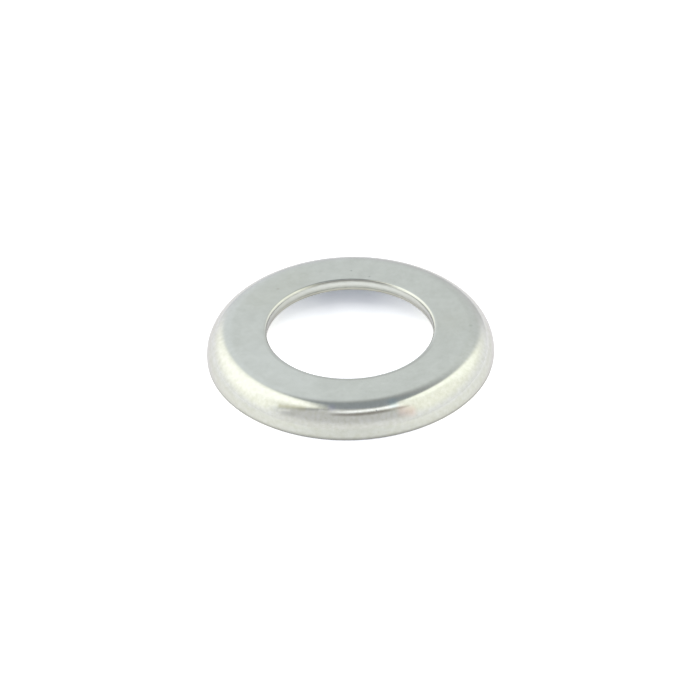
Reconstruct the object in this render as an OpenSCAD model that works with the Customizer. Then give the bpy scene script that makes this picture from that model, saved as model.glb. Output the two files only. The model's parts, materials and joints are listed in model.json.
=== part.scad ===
// Cup washer pressed from one disc of sheet steel: a flat ring with a pierced hole, whose rim is
// drawn down over a wide even bend into a short skirt. It stands on the cut edge of that skirt and
// is hollow underneath. The sheet keeps its thickness from the hole, round the bend, to the foot.

/* [Washer] */
// Diameter over the skirt
outer_d = 27; // [22:0.5:40]
// Diameter of the hole in the middle
hole_d = 15.6; // [6:0.1:20]
// Height from the foot of the skirt to the top face
height = 3; // [2.7:0.1:8]

/* [Sheet] */
// Thickness of the sheet
sheet = 1.2; // [0.8:0.1:1.5]
// Radius on the inside of the bend between the flat ring and the skirt
bend_r = 1.3; // [0.4:0.1:1.5]

/* [Hole] */
// Round on the upper edge of the hole, where the punch went in
hole_roll_r = 0.3; // [0.05:0.05:0.35]
// Height of the torn lower part of the hole's wall, where the slug broke away from the sheet
breakout_h = 0.4; // [0.1:0.05:0.4]
// How much further out the torn part stands at the underside of the sheet
breakout_w = 0.06; // [0.02:0.01:0.1]

/* [Foot] */
// Round on the outer edge of the foot
foot_roll_r = 0.3; // [0.05:0.05:0.4]
// Round on the inner edge of the foot
burr_r = 0.08; // [0.02:0.02:0.2]

/* [Hidden] */
$fn = 180;

outer_r = outer_d / 2;
hole_r = hole_d / 2;
// The outside of the bend and the hollow below follow the inside radius and the sheet
shoulder_r = bend_r + sheet;
hollow_r = outer_r - sheet;
hollow_h = height - sheet;

// What a round of radius r takes off a square corner that points to +X +Y, with the corner at 0, 0
module corner_waste(r) {
    translate([-r, -r])
        difference() {
            square(r);
            circle(r);
        }
}

// Half section of a solid cup of radius r and height h, with its upper rim rounded
module rounded_cup(r, h, rim_r) {
    difference() {
        square([r, h]);
        translate([r, h]) corner_waste(rim_r);
    }
}

// Half section of the sheet: the cup, less the hollow under it and the hole through it
module drawn_sheet() {
    difference() {
        rounded_cup(outer_r, height, shoulder_r);
        rounded_cup(hollow_r, hollow_h, bend_r);
        square([hole_r, height]);
    }
}

// The hole's edges as a punch leaves them: rolled in at the top, torn wider at the underside
module pierced_edges() {
    translate([hole_r, height]) rotate(90) corner_waste(hole_roll_r);
    translate([hole_r, hollow_h]) polygon([[0, 0], [breakout_w, 0], [0, breakout_h]]);
}

// The two rounds on the cut edge that the washer stands on
module foot_edges() {
    translate([hollow_r, 0]) rotate(180) corner_waste(burr_r);
    translate([outer_r, 0]) rotate(-90) corner_waste(foot_roll_r);
}

// The whole pressing, turned about its axis with the foot on the ground
module cup_washer() {
    color("#c3c8c4")
        rotate_extrude()
            difference() {
                drawn_sheet();
                pierced_edges();
                foot_edges();
            }
}

cup_washer();
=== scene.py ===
import json
import math

import bpy
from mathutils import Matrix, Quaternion, Vector


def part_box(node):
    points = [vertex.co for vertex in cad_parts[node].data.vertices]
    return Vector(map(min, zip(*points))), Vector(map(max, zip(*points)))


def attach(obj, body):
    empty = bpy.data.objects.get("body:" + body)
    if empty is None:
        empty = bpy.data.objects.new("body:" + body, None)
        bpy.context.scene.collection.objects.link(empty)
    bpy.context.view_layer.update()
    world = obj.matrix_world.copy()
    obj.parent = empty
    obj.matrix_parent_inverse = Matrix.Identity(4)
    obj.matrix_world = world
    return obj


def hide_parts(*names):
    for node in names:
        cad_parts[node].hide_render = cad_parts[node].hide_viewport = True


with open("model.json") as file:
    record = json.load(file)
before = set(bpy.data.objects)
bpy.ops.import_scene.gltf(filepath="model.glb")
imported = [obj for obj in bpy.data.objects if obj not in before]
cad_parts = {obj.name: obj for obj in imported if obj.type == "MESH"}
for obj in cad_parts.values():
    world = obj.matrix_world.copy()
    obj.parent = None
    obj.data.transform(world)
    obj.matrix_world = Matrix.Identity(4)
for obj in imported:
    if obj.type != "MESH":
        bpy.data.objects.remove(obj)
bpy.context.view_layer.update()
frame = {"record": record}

# Washer
# One disc of 1.2 mm mild steel sheet, pierced in the middle and drawn down at its rim over a wide
# bend, so that the ring stands on the cut edge of a short skirt. It is barrel plated with bright
# zinc and given a clear passivate, and nothing else is fixed to it.
MM = 0.001
low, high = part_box("cup_washer")
mounts = {mount["name"]: mount for mount in frame["record"]["mounts"]}
hole, cup_wall = mounts["centre_hole"], mounts["cup_wall"]
outer_radius = (high.x - low.x) / 2
height = high.z - low.z
hole_radius = hole["dims"]["r_mm"] * MM
hollow_height = mounts["inner_seat"]["pos_m"][2]
sheet = height - hollow_height
# The straight parts of the two inner walls end where their rounds and the torn part of the hole begin
hole_middle, hole_half = hole["pos_m"][2], hole["dims"]["length_mm"] * MM / 2
wall_middle, wall_half = cup_wall["pos_m"][2], cup_wall["dims"]["length_mm"] * MM / 2
hole_roll = height - (hole_middle + hole_half)
breakout_height = hole_middle - hole_half - hollow_height
bend_radius = hollow_height - (wall_middle + wall_half)
burr = wall_middle - wall_half
breakout_width = 0.06 * MM
breakout_soft = 0.03 * MM
foot_roll = 0.3 * MM
# Press tools and barrel plating leave the skin a few thousandths of a millimetre out of true
waviness = 0.006 * MM
wave_length = 3.5 * MM
rows_around = 480
row_step = 0.12 * MM


def add_node(tree, kind, inputs=None, **settings):
    """Add a node, with its settings and with each named input set to a value or linked to a socket."""
    node = tree.nodes.new(kind)
    for name, value in settings.items():
        setattr(node, name, value)
    for name, value in (inputs or {}).items():
        if isinstance(value, bpy.types.NodeSocket):
            tree.links.new(value, node.inputs[name])
        else:
            node.inputs[name].default_value = value
    return node


# The tree turns a cornered section, rounded at each corner, about the washer's axis
press = bpy.data.node_groups.new("Drawn ring", "GeometryNodeTree")
press.is_modifier = True
press.interface.new_socket("Ring", in_out="OUTPUT", socket_type="NodeSocketGeometry")
press_sizes = {
    "Outer radius": outer_radius,
    "Hole radius": hole_radius,
    "Height": height,
    "Sheet": sheet,
    "Bend radius": bend_radius,
    "Hole roll": hole_roll,
    "Breakout height": breakout_height,
    "Breakout width": breakout_width,
    "Breakout softness": breakout_soft,
    "Foot roll": foot_roll,
    "Burr": burr,
    "Waviness": waviness,
    "Wave length": wave_length,
    "Row step": row_step,
}
for label in press_sizes:
    press.interface.new_socket(label, in_out="INPUT", socket_type="NodeSocketFloat")
press.interface.new_socket("Plating", in_out="INPUT", socket_type="NodeSocketMaterial")
size_of = add_node(press, "NodeGroupInput").outputs
shoulder = add_node(
    press, "ShaderNodeMath", {0: size_of["Bend radius"], 1: size_of["Sheet"]}, operation="ADD"
).outputs[0]
skirt_width = add_node(
    press,
    "ShaderNodeMath",
    {0: size_of["Outer radius"], 1: size_of["Hole radius"]},
    operation="SUBTRACT",
).outputs[0]
hollow_width = add_node(
    press, "ShaderNodeMath", {0: skirt_width, 1: size_of["Sheet"]}, operation="SUBTRACT"
).outputs[0]
# Turning the section makes a depth in it a height above the foot, so heights here are negative
top = add_node(
    press, "ShaderNodeMath", {0: size_of["Height"], 1: -1.0}, operation="MULTIPLY"
).outputs[0]
hollow_top = add_node(
    press, "ShaderNodeMath", {0: top, 1: size_of["Sheet"]}, operation="ADD"
).outputs[0]
torn_top = add_node(
    press, "ShaderNodeMath", {0: hollow_top, 1: size_of["Breakout height"]}, operation="SUBTRACT"
).outputs[0]
# Each corner: distance out from the hole, depth, radius of its round and steps along that round
corners = [
    (size_of["Breakout width"], hollow_top, size_of["Breakout softness"], 4),
    (0.0, torn_top, size_of["Breakout softness"], 3),
    (0.0, top, size_of["Hole roll"], 10),
    (skirt_width, top, shoulder, 44),
    (skirt_width, 0.0, size_of["Foot roll"], 12),
    (hollow_width, 0.0, size_of["Burr"], 4),
    (hollow_width, hollow_top, size_of["Bend radius"], 20),
]
corner_number = add_node(press, "GeometryNodeInputIndex").outputs[0]
corner_places = [
    add_node(press, "ShaderNodeCombineXYZ", {"X": out, "Y": down}).outputs[0]
    for out, down, _, _ in corners
]
corner_values = {
    "VECTOR": corner_places,
    "FLOAT": [radius for _, _, radius, _ in corners],
    "INT": [steps for _, _, _, steps in corners],
}
# A switch for the places, one for the radii and one for the steps give each corner its own value
by_corner = {}
for data_type, values in corner_values.items():
    switch = add_node(
        press, "GeometryNodeIndexSwitch", {"Index": corner_number}, data_type=data_type
    )
    while len(switch.index_switch_items) < len(values):
        switch.index_switch_items.new()
    for number, value in enumerate(values):
        if isinstance(value, bpy.types.NodeSocket):
            press.links.new(value, switch.inputs[str(number)])
        else:
            switch.inputs[str(number)].default_value = value
    by_corner[data_type] = switch.outputs[0]
points = add_node(
    press,
    "GeometryNodePoints",
    {"Count": len(corners), "Position": by_corner["VECTOR"]},
)
outline = add_node(press, "GeometryNodePointsToCurves", {"Points": points.outputs[0]})
closed = add_node(
    press, "GeometryNodeSetSplineCyclic", {"Geometry": outline.outputs[0], "Cyclic": True}
)
rounded = add_node(
    press,
    "GeometryNodeFilletCurve",
    {
        "Curve": closed.outputs[0],
        "Radius": by_corner["FLOAT"],
        "Count": by_corner["INT"],
    },
    mode="POLY",
)
# The flats are cut into rows as fine as the rounds, so that the skin can wave there too
here = add_node(press, "GeometryNodeInputPosition").outputs[0]
next_point = add_node(press, "GeometryNodeOffsetPointInCurve", {"Offset": 1})
there = add_node(
    press,
    "GeometryNodeFieldAtIndex",
    {"Index": next_point.outputs["Point Index"], "Value": here},
    data_type="FLOAT_VECTOR",
)
gap = add_node(press, "ShaderNodeVectorMath", {0: here, 1: there.outputs[0]}, operation="DISTANCE")
cuts = add_node(
    press, "ShaderNodeMath", {0: gap.outputs["Value"], 1: size_of["Row step"]}, operation="DIVIDE"
)
section = add_node(
    press, "GeometryNodeSubdivideCurve", {"Curve": rounded.outputs[0], "Cuts": cuts.outputs[0]}
)
rim = add_node(
    press,
    "GeometryNodeCurvePrimitiveCircle",
    {"Resolution": rows_around, "Radius": size_of["Hole radius"]},
)
turned = add_node(
    press,
    "GeometryNodeCurveToMesh",
    {"Curve": rim.outputs[0], "Profile Curve": section.outputs[0]},
)
wave_scale = add_node(
    press, "ShaderNodeMath", {0: 1.0, 1: size_of["Wave length"]}, operation="DIVIDE"
)
swell = add_node(
    press,
    "ShaderNodeTexNoise",
    {"Scale": wave_scale.outputs[0], "Detail": 1.0},
    noise_dimensions="3D",
)
# The skin only ever dips below true, so the washer never outgrows its own sizes
below_true = add_node(press, "ShaderNodeMath", {0: swell.outputs[0], 1: 1.0}, operation="SUBTRACT")
dip = add_node(
    press, "ShaderNodeMath", {0: below_true.outputs[0], 1: size_of["Waviness"]}, operation="MULTIPLY"
)
facing = add_node(press, "GeometryNodeInputNormal").outputs[0]
offset = add_node(
    press, "ShaderNodeVectorMath", {0: facing, "Scale": dip.outputs[0]}, operation="SCALE"
)
waved = add_node(
    press,
    "GeometryNodeSetPosition",
    {"Geometry": turned.outputs[0], "Offset": offset.outputs[0]},
)
smooth = add_node(press, "GeometryNodeSetShadeSmooth", {"Geometry": waved.outputs[0]})
real = add_node(press, "GeometryNodeRealizeInstances", {"Geometry": smooth.outputs[0]})
plated = add_node(
    press,
    "GeometryNodeSetMaterial",
    {"Geometry": real.outputs[0], "Material": size_of["Plating"]},
)
add_node(press, "NodeGroupOutput", {"Ring": plated.outputs[0]})


def linear(hex_colour):
    """The linear colour of an sRGB hex value, with full alpha."""
    parts = [int(hex_colour[i : i + 2], 16) / 255 for i in (1, 3, 5)]
    return [p / 12.92 if p <= 0.04045 else ((p + 0.055) / 1.055) ** 2.4 for p in parts] + [1.0]


# Bright zinc plate with a clear passivate, on drawn steel: close to a mirror, a little softened,
# smooth on the flat ring and pebbled like orange peel where the bend has stretched the sheet. The
# punched wall is burnished above and torn to a dull straw colour below. Painted highlights,
# reflections and shade lie on the cut edges, the foot, the flat ring and the front shoulder.
plate = bpy.data.materials.new("bright_zinc_plate")
plate.use_nodes = True
plate.node_tree.nodes.clear()
skin = plate.node_tree
peel_size = 0.40 * MM
peel_depth = 0.0019 * MM
fine_size = 0.14 * MM
place = add_node(skin, "ShaderNodeTexCoord").outputs["Object"]
level_place = add_node(skin, "ShaderNodeVectorMath", {0: place, 1: (1, 1, 0)}, operation="MULTIPLY")
reach = add_node(
    skin, "ShaderNodeVectorMath", {0: level_place.outputs[0]}, operation="LENGTH"
).outputs["Value"]
rise = add_node(skin, "ShaderNodeSeparateXYZ", {0: place}).outputs["Z"]
# How far the sheet has been drawn: little on the flat ring, fully once it turns down into the skirt
bend_start = outer_radius - bend_radius - sheet
draw_run = 1.9 * MM
drawn = add_node(
    skin,
    "ShaderNodeMapRange",
    {
        "Value": reach,
        "From Min": bend_start,
        "From Max": bend_start + draw_run,
        "To Min": 0.15,
        "To Max": 1.0,
    },
    interpolation_type="SMOOTHSTEP",
).outputs[0]
peel = add_node(
    skin,
    "ShaderNodeTexNoise",
    {"Vector": place, "Scale": 1 / peel_size, "Detail": 2.0, "Roughness": 0.5},
).outputs[0]
fine = add_node(
    skin,
    "ShaderNodeTexNoise",
    {"Vector": place, "Scale": 1 / fine_size, "Detail": 2.0, "Roughness": 0.6},
).outputs[0]
# The plating is a shade paler on the peel's tops and a shade more straw in its hollows
cast = add_node(skin, "ShaderNodeMapRange", {"Value": peel, "From Min": 0.3, "From Max": 0.7})
cast_ramp = add_node(skin, "ShaderNodeValToRGB", {"Fac": cast.outputs[0]})
# The flat ring has only soft clouds of much the same shades
cloud_size = 1.6 * MM
cloud = add_node(
    skin,
    "ShaderNodeTexNoise",
    {"Vector": place, "Scale": 1 / cloud_size, "Detail": 4.0, "Roughness": 0.65},
).outputs[0]
quiet_ramp = add_node(skin, "ShaderNodeValToRGB", {"Fac": cloud})
plate_shades = [
    (cast_ramp, ((0.0, "#c5c6bc"), (1.0, "#cecfc9"))),
    (quiet_ramp, ((0.25, "#c3c5bd"), (0.75, "#cfd1c9"))),
]
for ramp, shades in plate_shades:
    for stop, (position, tone) in zip(ramp.color_ramp.elements, shades):
        stop.position = position
        stop.color = linear(tone)
# Sockets 0, 6 and 7 of a colour mix are its share and its two colours, and output 2 is the result
colour = add_node(
    skin,
    "ShaderNodeMix",
    {0: drawn, 6: quiet_ramp.outputs[0], 7: cast_ramp.outputs[0]},
    data_type="RGBA",
).outputs[2]
# Bands round the cut edges: heights where each starts, is full, fades and ends, in millimetres up the
# part, then colour and share. The punched wall is burnished above, where a painted highlight whitens
# it, with a dark line where the sheet let go and a straw coloured tear below it down to a dark lip, and
# a painted highlight makes it paler at its sides. The hole's rolled edge has a painted dark reflection
# at the back and a painted grey reflection at the front. A painted shade darkens the foot.
torn = (hollow_height + breakout_height) / MM
lip = hollow_height / MM
brow = height / MM
wall_bands = [
    # Burnished, with a painted highlight: the wall's top is painted near white for its bright
    # reflection
    (torn + 0.05, torn + 0.30, torn + 0.50, torn + 0.62, "#f2f3ee", 0.75),
    (lip, lip + 0.04, torn - 0.14, torn, "#dedac8", 0.45),
    (torn - 0.12, torn - 0.07, torn - 0.04, torn, "#85857b", 0.55),
    (lip - 0.1, lip, lip + 0.04, lip + 0.12, "#6f6f67", 0.3),
]
# Painted highlight: the hole's wall is painted paler at its left and right sides
side_wall_painted_highlight = (lip - 0.1, lip, lip + 0.9, lip + 1.0, "#f6f4ea", 0.3)
# Painted reflection: the front of the rolled edge is painted grey for the shaded hole it mirrors
front_roll_painted_reflection = (brow - 0.10, brow - 0.07, brow + 0.1, brow + 0.2, "#a0a09a", 0.38)
# Painted shade: the foot is darkened for the contact shadow that its round mirrors
foot_painted_shade = (-0.2, -0.1, 0.08, 0.52, "#64635f", 0.70)
# Painted reflection: the back of the rolled edge is painted dark
back_roll_painted_reflection = (brow - 0.20, brow - 0.13, brow - 0.05, brow - 0.01, "#74746e", 0.6)
# Streaks from the punch, five times as long as they are high, sway the wall's lines up and down
streak_size = 0.7 * MM
streak_sway = 0.12 * MM
streak_flatness = 5
streak_place = add_node(
    skin, "ShaderNodeVectorMath", {0: place, 1: (1, 1, streak_flatness)}, operation="MULTIPLY"
)
streak = add_node(
    skin,
    "ShaderNodeTexNoise",
    {"Vector": streak_place.outputs[0], "Scale": 1 / streak_size, "Detail": 3.0, "Roughness": 0.6},
).outputs[0]
sway = add_node(
    skin,
    "ShaderNodeMapRange",
    {"Value": streak, "To Min": -streak_sway, "To Max": streak_sway},
)
wall_rise = add_node(
    skin, "ShaderNodeMath", {0: rise, 1: sway.outputs[0]}, operation="ADD"
).outputs[0]
# Where the bands lie: what is measured, the two millimetre marks between which the share changes,
# and the share before and after them
hole_edge, skirt_edge = hole_radius / MM, outer_radius / MM
back_y = add_node(skin, "ShaderNodeSeparateXYZ", {0: place}).outputs["Y"]
places_for_bands = {
    "wall": (reach, hole_edge + 0.06, hole_edge + 0.12, 1.0, 0.0),
    "skirt": (reach, skirt_edge - 0.4, skirt_edge - 0.3, 0.0, 1.0),
    "back": (back_y, 6.3, 7.2, 0.0, 1.0),
    "roll": (reach, hole_edge + 0.28, hole_edge + 0.34, 1.0, 0.0),
    "front": (back_y, -4.0, -2.0, 1.0, 0.0),
    "roll and rim": (reach, hole_edge + 0.40, hole_edge + 0.56, 1.0, 0.0),
    "sides": (back_y, 4.5, 7.0, 1.0, 0.0),
}
share_at = {}
for label, (measure, near, far, before, after) in places_for_bands.items():
    limits = {"From Min": near * MM, "From Max": far * MM, "To Min": before, "To Max": after}
    share_at[label] = add_node(skin, "ShaderNodeMapRange", {"Value": measure, **limits}).outputs[0]
on_wall = share_at["wall"]
on_roll, on_front_roll, on_side_wall = [
    add_node(
        skin, "ShaderNodeMath", {0: share_at[one], 1: share_at[other]}, operation="MULTIPLY"
    ).outputs[0]
    for one, other in (("back", "roll"), ("front", "roll and rim"), ("sides", "wall"))
]
edges_up = [(wall_band, wall_rise, on_wall) for wall_band in wall_bands]
edges_up += [
    (side_wall_painted_highlight, wall_rise, on_side_wall),
    (front_roll_painted_reflection, rise, on_front_roll),
    (foot_painted_shade, rise, share_at["skirt"]),
    (back_roll_painted_reflection, rise, on_roll),
]
for (bottom, full, fade, end, tone, share), up_part, where in edges_up:
    rising = add_node(
        skin,
        "ShaderNodeMapRange",
        {"Value": up_part, "From Min": bottom * MM, "From Max": full * MM, "To Max": share},
    )
    falling = add_node(
        skin,
        "ShaderNodeMapRange",
        {"Value": up_part, "From Min": fade * MM, "From Max": end * MM, "To Min": 1.0, "To Max": 0.0},
    )
    within = add_node(
        skin, "ShaderNodeMath", {0: rising.outputs[0], 1: falling.outputs[0]}, operation="MULTIPLY"
    )
    banded = add_node(skin, "ShaderNodeMath", {0: within.outputs[0], 1: where}, operation="MULTIPLY")
    colour = add_node(
        skin, "ShaderNodeMix", {0: banded.outputs[0], 6: colour, 7: linear(tone)}, data_type="RGBA"
    ).outputs[2]
# Marks from the barrel and the hand, and painted light and shade: the two ends and the spread in
# millimetres, colour and share
marks_and_painted_light = [
    ((0.30, 9.36, 3.0), (0.30, 9.36, 3.0), 0.16, "#8b908b", 0.55),
    ((-6.73, 6.67, 3.0), (-6.73, 6.67, 3.0), 0.22, "#a79d98", 0.45),
    ((11.28, -0.22, 2.98), (11.28, -0.22, 2.98), 0.30, "#a3aca0", 0.35),
    ((2.17, -12.28, 2.52), (2.17, -12.28, 2.52), 0.12, "#5e5e58", 0.6),
    ((4.50, -12.03, 2.18), (5.35, -11.86, 2.00), 0.75, "#dcbcb0", 0.4),
    ((2.01, 8.25, 3.0), (2.01, 8.25, 3.0), 0.16, "#8f938e", 0.5),
    ((-4.71, 10.69, 2.90), (-4.71, 10.69, 2.90), 0.20, "#999d98", 0.5),
    ((3.65, -11.48, 2.77), (3.65, -11.48, 2.77), 0.80, "#a9c2cc", 0.4),
    ((-1.85, -11.95, 2.75), (-1.85, -11.95, 2.75), 0.60, "#b5b2cc", 0.4),
    # Painted reflection on the front shoulder: streaks along the lower edge of the left panel's
    # reflection, dark ones, the first olive, one bright as a painted highlight, and a dark one on the
    # skirt
    ((-6.51, -10.95, 2.30), (-4.33, -11.71, 2.51), 0.36, "#98957c", 0.55),
    ((-4.05, -11.78, 2.53), (-3.15, -11.96, 2.59), 0.28, "#8f9189", 0.45),
    ((-3.00, -11.84, 2.69), (-2.20, -12.10, 2.63), 0.30, "#8f9189", 0.35),
    ((-6.61, -11.17, 2.02), (-5.70, -11.48, 2.20), 0.20, "#f4f3e4", 0.3),
    ((-6.25, -11.42, 1.82), (-5.30, -11.75, 1.92), 0.34, "#a3a59f", 0.3),
    # Painted light and shade on the flat ring: lighter to the front left, darker to the back left and
    # right
    ((-8.2, 5.0, 3.0), (-5.0, 8.2, 3.0), 3.2, "#b8b8a6", 0.2),
    ((-8.6, -4.0, 3.0), (-4.5, -8.4, 3.0), 2.6, "#dcded8", 0.25),
    ((9.4, 0.5, 3.0), (9.4, 0.5, 3.0), 2.8, "#bcbcac", 0.15),
]
for first_end, last_end, spread, tone, share in marks_and_painted_light:
    first_end, last_end = Vector(first_end) * MM, Vector(last_end) * MM
    run = last_end - first_end
    from_end = add_node(skin, "ShaderNodeVectorMath", {0: place, 1: first_end}, operation="SUBTRACT")
    along = add_node(
        skin, "ShaderNodeVectorMath", {0: from_end.outputs[0], 1: run}, operation="DOT_PRODUCT"
    )
    part_way = add_node(
        skin,
        "ShaderNodeMapRange",
        {"Value": along.outputs["Value"], "From Max": run.length_squared or 1.0},
    )
    foot = add_node(
        skin, "ShaderNodeVectorMath", {0: run, "Scale": part_way.outputs[0]}, operation="SCALE"
    )
    away = add_node(
        skin,
        "ShaderNodeVectorMath",
        {0: from_end.outputs[0], 1: foot.outputs[0]},
        operation="DISTANCE",
    )
    stain_and_painted_light = add_node(
        skin,
        "ShaderNodeMapRange",
        {"Value": away.outputs["Value"], "From Max": spread * MM, "To Min": share, "To Max": 0.0},
        interpolation_type="SMOOTHSTEP",
    )
    colour = add_node(
        skin, "ShaderNodeMix", {0: stain_and_painted_light.outputs[0], 6: colour, 7: linear(tone)}, data_type="RGBA"
    ).outputs[2]
# The plate's roughness drifts between a clear and a hazy shine, and the cut wall is rougher by a step
clear_shine, hazy_shine, cut_wall_step = 0.09, 0.17, 0.16
gloss = add_node(
    skin, "ShaderNodeMapRange", {"Value": fine, "To Min": clear_shine, "To Max": hazy_shine}
)
rubbed = add_node(
    skin,
    "ShaderNodeMath",
    {0: on_wall, 1: cut_wall_step, 2: gloss.outputs[0]},
    operation="MULTIPLY_ADD",
)
peel_height = add_node(skin, "ShaderNodeMath", {0: peel, 1: drawn}, operation="MULTIPLY")
pebbled = add_node(
    skin,
    "ShaderNodeBump",
    {"Height": peel_height.outputs[0], "Distance": peel_depth, "Strength": 1.0},
)
# Seen along its surface, the plate mirrors a shade duller and cooler than a pure metal
metal = add_node(
    skin,
    "ShaderNodeBsdfPrincipled",
    {
        "Base Color": colour,
        "Metallic": 1.0,
        "Specular Tint": linear("#e9e6ec"),
        "Roughness": rubbed.outputs[0],
        "Normal": pebbled.outputs[0],
    },
)
add_node(skin, "ShaderNodeOutputMaterial", {"Surface": metal.outputs[0]})

blank = bpy.data.objects.new("blank", bpy.data.meshes.new("blank"))
bpy.context.scene.collection.objects.link(blank)
pressing = blank.modifiers.new("Drawn ring", "NODES")
pressing.node_group = press
for item in press.interface.items_tree:
    if item.in_out == "INPUT":
        pressing[item.identifier] = press_sizes.get(item.name, plate)
blank.update_tag()
ring_mesh = bpy.data.meshes.new_from_object(
    blank.evaluated_get(bpy.context.evaluated_depsgraph_get())
)
bpy.data.objects.remove(blank)
washer = bpy.data.objects.new("zinc_cup_washer", ring_mesh)
bpy.context.scene.collection.objects.link(washer)
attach(washer, "root")
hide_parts("cup_washer")

# Table
# A sheet of matt white card that the washer lies on. It takes the washer's soft shadow. The camera
# sees it over-exposed to plain white, and the metal sees a part of that lift.
table_half = 0.6
table_drop = 0.01 * MM
table_mesh = bpy.data.meshes.new("white_table")
table_corners = [(-1, -1), (1, -1), (1, 1), (-1, 1)]
table_mesh.from_pydata(
    [(x * table_half, y * table_half, -table_drop) for x, y in table_corners], [], [(0, 1, 2, 3)]
)
table = bpy.data.objects.new("white_table", table_mesh)
bpy.context.scene.collection.objects.link(table)
card = bpy.data.materials.new("matt_card")
card.use_nodes = True
card.node_tree.nodes.clear()
paper = card.node_tree
card_exposure = 1.28
mirror_share = 0.38
# The side panels stand close, so the card glows more towards them: millimetres to the side and colours
card_glow = [
    (2.0, "#717684"),
    (6.0, "#a6a9b1"),
    (8.0, "#c3c3c3"),
    (13.5, "#dcdcda"),
    (18.0, "#cecdcd"),
    (30.0, "#e4e5f6"),
]
glow_reach = card_glow[-1][0]
card_place = add_node(paper, "ShaderNodeTexCoord").outputs["Object"]
card_way = add_node(paper, "ShaderNodeSeparateXYZ", {0: card_place}).outputs
sideways = add_node(paper, "ShaderNodeMath", {0: card_way["X"]}, operation="ABSOLUTE")
towards_panel = add_node(
    paper, "ShaderNodeMapRange", {"Value": sideways.outputs[0], "From Max": glow_reach * MM}
)
glow_ramp = add_node(paper, "ShaderNodeValToRGB", {"Fac": towards_panel.outputs[0]})
glow_stops = glow_ramp.color_ramp.elements
while len(glow_stops) < len(card_glow):
    glow_stops.new(1.0)
for stop, (distance, tone) in zip(glow_stops, card_glow):
    stop.position = distance / glow_reach
    stop.color = linear(tone)
# Close round the foot the skirt's shine lights the card as well, but not in the shade of the hollow
foot_glow = linear("#a8a8a4")
foot_glow_start = outer_radius - 0.5 * MM
foot_glow_end = outer_radius + 4.0 * MM
shade_radius = 11.0 * MM
level_card = add_node(
    paper, "ShaderNodeVectorMath", {0: card_place, 1: (1, 1, 0)}, operation="MULTIPLY"
)
from_axis = add_node(paper, "ShaderNodeVectorMath", {0: level_card.outputs[0]}, operation="LENGTH")
by_foot = add_node(
    paper,
    "ShaderNodeMapRange",
    {
        "Value": from_axis.outputs["Value"],
        "From Min": foot_glow_start,
        "From Max": foot_glow_end,
        "To Min": 1.0,
        "To Max": 0.0,
    },
)
outside = add_node(
    paper,
    "ShaderNodeMath",
    {0: from_axis.outputs["Value"], 1: shade_radius},
    operation="GREATER_THAN",
)
foot_share = add_node(
    paper, "ShaderNodeMath", {0: by_foot.outputs[0], 1: outside.outputs[0]}, operation="MULTIPLY"
)
card_light = add_node(
    paper,
    "ShaderNodeMix",
    {0: foot_share.outputs[0], 6: glow_ramp.outputs[0], 7: foot_glow},
    data_type="RGBA",
    blend_type="ADD",
)
ray = add_node(paper, "ShaderNodeLightPath").outputs
mirrored = add_node(
    paper,
    "ShaderNodeMath",
    {0: ray["Is Glossy Ray"], 1: ray["Is Transmission Ray"]},
    operation="MAXIMUM",
)
seen = add_node(
    paper,
    "ShaderNodeMath",
    {0: mirrored.outputs[0], 1: mirror_share, 2: ray["Is Camera Ray"]},
    operation="MULTIPLY_ADD",
)
# The card's front end lies further from the panels, so its glow fades towards the camera
front_end, fade_from, front_share = -30 * MM, -17 * MM, 0.45
to_camera = add_node(
    paper,
    "ShaderNodeMapRange",
    {
        "Value": card_way["Y"],
        "From Min": front_end,
        "From Max": fade_from,
        "To Min": front_share,
        "To Max": 1.0,
    },
)
glow_level = add_node(
    paper, "ShaderNodeMath", {0: seen.outputs[0], 1: to_camera.outputs[0]}, operation="MULTIPLY"
)
white = linear("#f3f3f3")
matt = add_node(paper, "ShaderNodeBsdfDiffuse", {"Color": white})
over = add_node(paper, "ShaderNodeBsdfDiffuse", {"Color": [card_exposure * part for part in white]})
shown = add_node(
    paper,
    "ShaderNodeMixShader",
    {0: ray["Is Camera Ray"], 1: matt.outputs[0], 2: over.outputs[0]},
)
glow = add_node(
    paper, "ShaderNodeEmission", {"Color": card_light.outputs[2], "Strength": glow_level.outputs[0]}
)
sheet_of_card = add_node(paper, "ShaderNodeAddShader", {0: shown.outputs[0], 1: glow.outputs[0]})
add_node(paper, "ShaderNodeOutputMaterial", {"Surface": sheet_of_card.outputs[0]})
table_mesh.materials.append(card)

# Studio
# A light tent over the table: pale walls, a dim ceiling with a dark roof at the front, a tall lit panel
# on each side, the right one turned a little, and a narrow strip lamp across the ceiling on the
# camera's side. All edges are soft, as on stretched cloth.
world = bpy.data.worlds.new("light_tent")
bpy.context.scene.world = world
world.use_nodes = True
world.node_tree.nodes.clear()
tent = world.node_tree
towards = add_node(tent, "ShaderNodeTexCoord").outputs["Generated"]
level_way = add_node(tent, "ShaderNodeVectorMath", {0: towards, 1: (1, 1, 0)}, operation="MULTIPLY")
level_length = add_node(
    tent, "ShaderNodeVectorMath", {0: level_way.outputs[0]}, operation="LENGTH"
).outputs["Value"]
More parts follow.
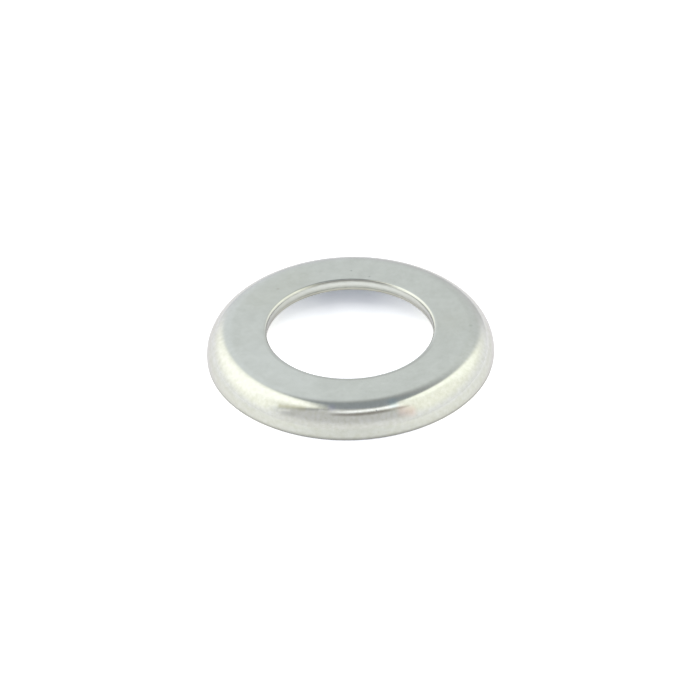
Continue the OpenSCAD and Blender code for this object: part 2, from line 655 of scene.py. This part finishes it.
# Walls and ceiling by their height above the table, in degrees
tent_level = 1.25
tent_bands = [
    (0, "#d6d8dc"),
    (12, "#d7d9dc"),
    (24, "#d6dadd"),
    (31, "#d5d9dc"),
    (42, "#dee2e4"),
    (51, "#c7cbce"),
    (58, "#aaacaf"),
    (66, "#9aa0a6"),
    (90, "#999fa8"),
]
height_sine = add_node(tent, "ShaderNodeSeparateXYZ", {0: towards}).outputs["Z"]
height_angle = add_node(tent, "ShaderNodeMath", {0: height_sine}, operation="ARCSINE")
band = add_node(
    tent,
    "ShaderNodeMapRange",
    {"Value": height_angle.outputs[0], "From Min": 0.0, "From Max": math.pi / 2},
)
walls = add_node(tent, "ShaderNodeValToRGB", {"Fac": band.outputs[0]})
stops = walls.color_ramp.elements
while len(stops) < len(tent_bands):
    stops.new(1.0)
for stop, (degrees, tone) in zip(stops, tent_bands):
    stop.position = degrees / 90
    stop.color = linear(tone)

# Each lamp: its level, its tint, a turn about the vertical, and its soft edges in degrees, as two
# angles where it starts and is full and two where it begins to fade and ends. The angles are taken
# round the tent from straight behind the washer, up from the table, or from overhead to right or back.
round_tent, up, to_right, to_back = ("X", "Y"), ("Z", "level"), ("X", "Z"), ("Y", "Z")
# The left panel's outline but for its lower edge
left_round, left_sides = (-122, -106, -36, -22), (-158, -154, -16, -6)
# A panel goes on past overhead, where its sides cut it off
past_top = (120, 140)
lamps = [
    # The glow of the left panel on the back wall
    (0.88, "#f4f9ff", 0, {round_tent: (-154, -145, -14, 10), up: (-25, -5, 48, 68)}),
    # The dim front of the tent, the bright apron of the table below it and the dark roof above it
    (0.68, "#fcfcff", 180, {round_tent: (-50, -34, 51, 69), up: (9, 21, 75, 91)}),
    (0.92, "#fdfdff", 180, {round_tent: (-79, -53, 62, 79), up: (-62, -56, 9, 34)}),
    (0.31, "#fff9f4", 180, {round_tent: (-65, -52, 14, 29), up: (50, 61, 76, 88)}),
    # The glow of both panels low on the side walls
    (1.04, "#fafbff", 0, {round_tent: (-135, -110, -32, -18), up: (-25, -5, 14, 34)}),
    (1.0, "#fafbff", 0, {round_tent: (26, 42, 125, 145), up: (-25, -5, 14, 34)}),
    # The left panel, its whiter part and its duller front end
    (
        1.22,
        "#fefff8",
        0,
        {round_tent: left_round, to_right: left_sides, up: (-3, 25, *past_top)},
    ),
    (
        1.39,
        "#fffffd",
        0,
        {round_tent: (-104, -73, -48, -30), to_right: (-155, -143, -18, -11), up: (13, 33, *past_top)},
    ),
    (
        1.09,
        "#fefff8",
        0,
        {round_tent: (-122, -106, -104, -94), to_right: left_sides, up: (38, 50, *past_top)},
    ),
    # The right panel, and two brighter parts of it towards the back wall and overhead
    (
        1.14,
        "#fefff7",
        -20,
        {round_tent: (12, 28, 99, 123), to_right: (12, 20, 147, 166), up: (0, 33, *past_top)},
    ),
    (
        1.32,
        "#fdfff8",
        -20,
        {round_tent: (21, 29, 39, 59), to_right: (13, 20, 141, 148), up: (18, 36, *past_top)},
    ),
    (
        1.38,
        "#fdfff8",
        -20,
        {round_tent: (26, 36, 56, 72), to_right: (13, 18, 25, 32), up: (18, 36, *past_top)},
    ),
    # The end of the dark roof, in front of the right panel
    (0.5, "#fff9f4", 180, {round_tent: (-64, -53, -53, -44), up: (48, 56, 62, 72)}),
    # The strip lamp
    (1.6, "#f8faff", 16, {to_right: (-21, -4, 15, 23), to_back: (-26, -15, -17, -5)}),
]
shine = walls.outputs[0]
for level, tint, turn, edges in lamps:
    turned_way = add_node(
        tent,
        "ShaderNodeVectorRotate",
        {"Vector": towards, "Angle": math.radians(-turn)},
        rotation_type="Z_AXIS",
    )
    way = add_node(tent, "ShaderNodeSeparateXYZ", {0: turned_way.outputs[0]}).outputs
    length_of = {"X": way["X"], "Y": way["Y"], "Z": way["Z"], "level": level_length}
    mask = 1.0
    for (first, second), (start, full, fade, stop) in edges.items():
        angle = add_node(
            tent, "ShaderNodeMath", {0: length_of[first], 1: length_of[second]}, operation="ARCTAN2"
        )
        for dark, lit in ((start, full), (stop, fade)):
            soft_edge = add_node(
                tent,
                "ShaderNodeMapRange",
                {
                    "Value": angle.outputs[0],
                    "From Min": math.radians(min(dark, lit)),
                    "From Max": math.radians(max(dark, lit)),
                    "To Min": float(dark > lit),
                    "To Max": float(lit > dark),
                },
                interpolation_type="SMOOTHSTEP",
            )
            product = add_node(
                tent, "ShaderNodeMath", {0: mask, 1: soft_edge.outputs[0]}, operation="MULTIPLY"
            )
            mask = product.outputs[0]
    lamp_light = [level * part for part in linear(tint)]
    lit_tent = add_node(
        tent, "ShaderNodeMix", {0: mask, 6: shine, 7: lamp_light}, data_type="RGBA"
    )
    shine = lit_tent.outputs[2]
shell = add_node(tent, "ShaderNodeBackground", {"Color": shine, "Strength": tent_level})
add_node(tent, "ShaderNodeOutputWorld", {"Surface": shell.outputs[0]})

# Camera
# A long lens looking down at the washer from the front, turned a little about its own axis and far
# enough away that the washer's near and far sides differ little in size.
view_distance = 0.270
view_elevation = math.radians(36.0)
view_roll = math.radians(-1.65)
view_aim = Vector((-0.045, 0.0, 0.40)) * MM
lens_mm = 148.0
backwards = Vector((0.0, -math.cos(view_elevation), math.sin(view_elevation)))
camera = bpy.data.objects.new("camera", bpy.data.cameras.new("camera"))
camera.data.sensor_width = 36.0
camera.data.lens = lens_mm
camera.data.clip_start = 0.01
camera.location = view_aim + backwards * view_distance
camera.rotation_mode = "QUATERNION"
camera.rotation_quaternion = (-backwards).to_track_quat("-Z", "Y") @ Quaternion((0, 0, 1), view_roll)
bpy.context.scene.collection.objects.link(camera)
bpy.context.scene.camera = camera
bpy.context.scene.view_settings.view_transform = "Standard"
